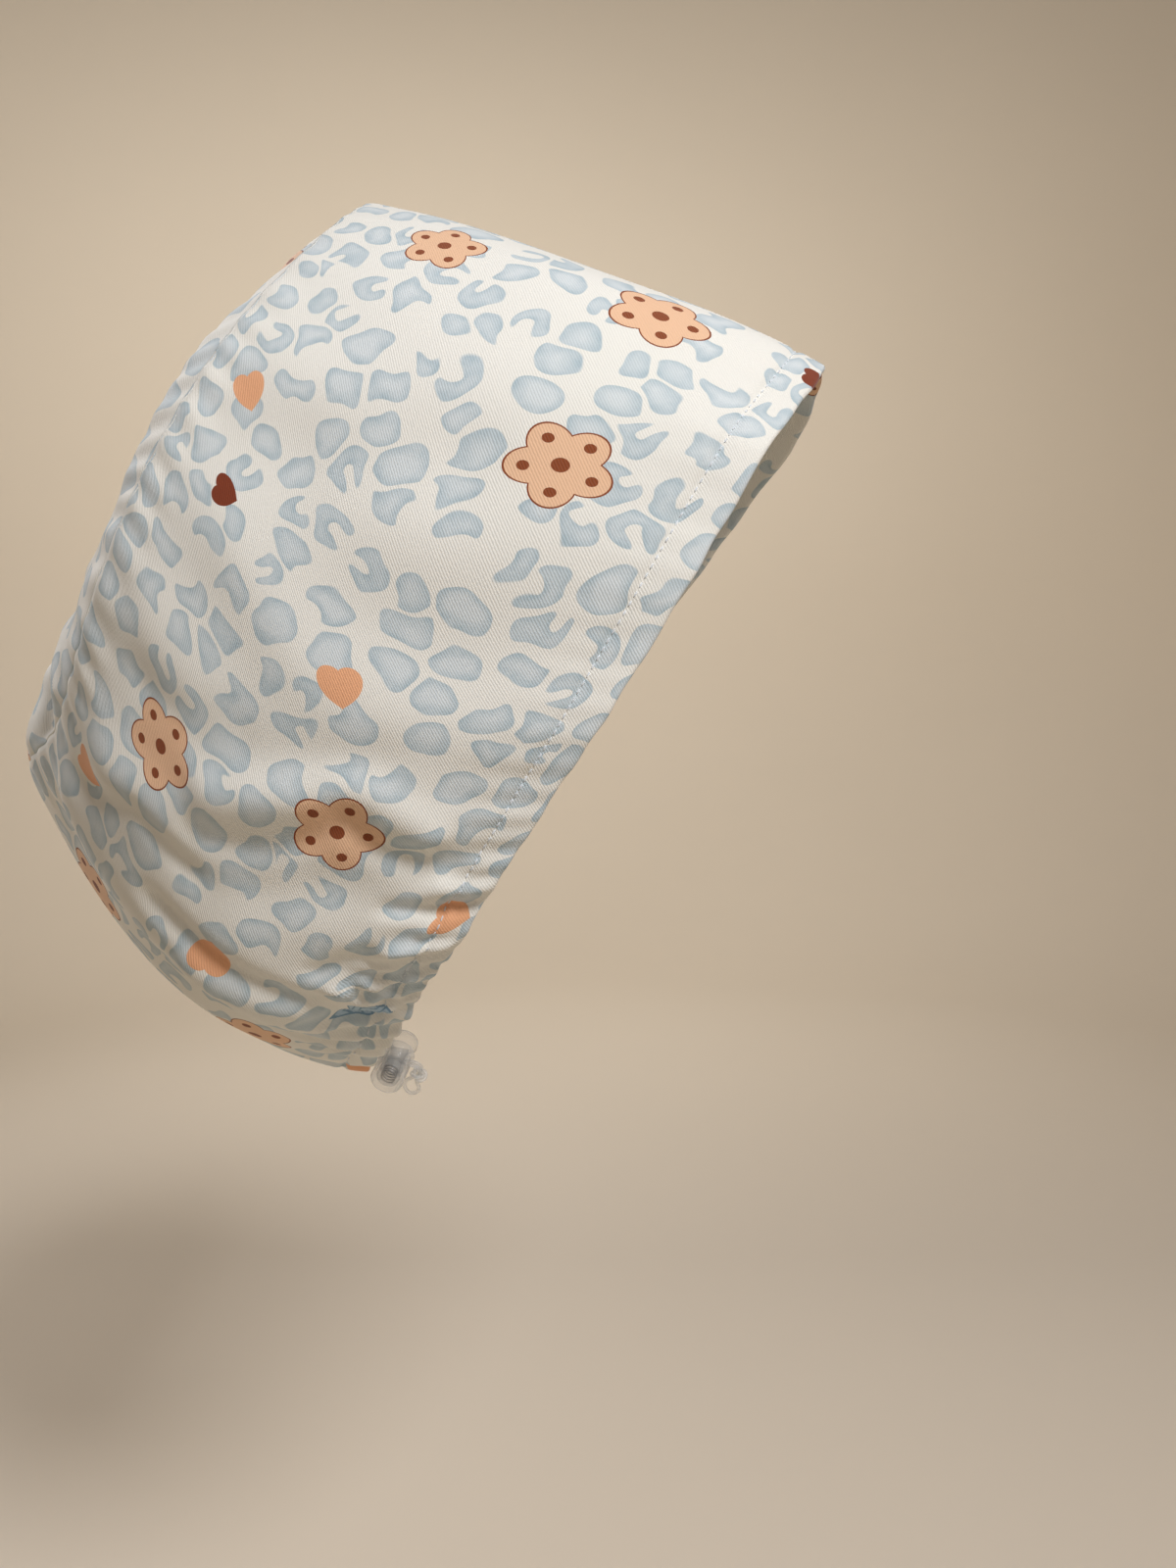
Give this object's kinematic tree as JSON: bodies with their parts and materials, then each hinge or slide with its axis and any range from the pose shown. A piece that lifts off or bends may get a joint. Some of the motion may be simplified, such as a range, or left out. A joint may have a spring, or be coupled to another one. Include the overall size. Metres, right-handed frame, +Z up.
{
  "type": "gathered scrub cap with a cord lock at the nape",
  "caption": "Cotton scrub cap: a deep band from brow to nape, an oval crown panel, a turned hem, and a gathered nape drawn up by an elastic cord and clear cord lock.",
  "frame": {"origin": "where the top of the head touches the inside of the cloth, on the cap's middle plane", "axes": "+X towards the face opening, +Y towards the wearer's left, +Z up"},
  "size_m": [0.2435, 0.1682, 0.275],
  "materials": {
    "printed_cotton": "fine cotton twill, printed, matt",
    "clear_elastic": "clear stretch cord",
    "clear_plastic": "clear moulded polycarbonate",
    "spring_steel": "drawn spring wire"
  },
  "bodies": {
    "cap": {"band_panel": "printed_cotton", "crown_panel": "printed_cotton", "rim_hem": "printed_cotton", "elastic_cord": "clear_elastic", "cord_knot": "clear_elastic", "lock_barrel": "clear_plastic", "lock_spring": "spring_steel"},
    "cord_lock_button": {"lock_button": "clear_plastic"}
  },
  "joints": [
    {"name": "button_press", "type": "slide", "parent": "cap", "child": "cord_lock_button", "axis": [-0.1896, -0.8782, -0.4391], "range_m": [0, 0.0032], "stiffness_N_per_m": 250, "deforming": ["lock_spring"]}
  ]
}
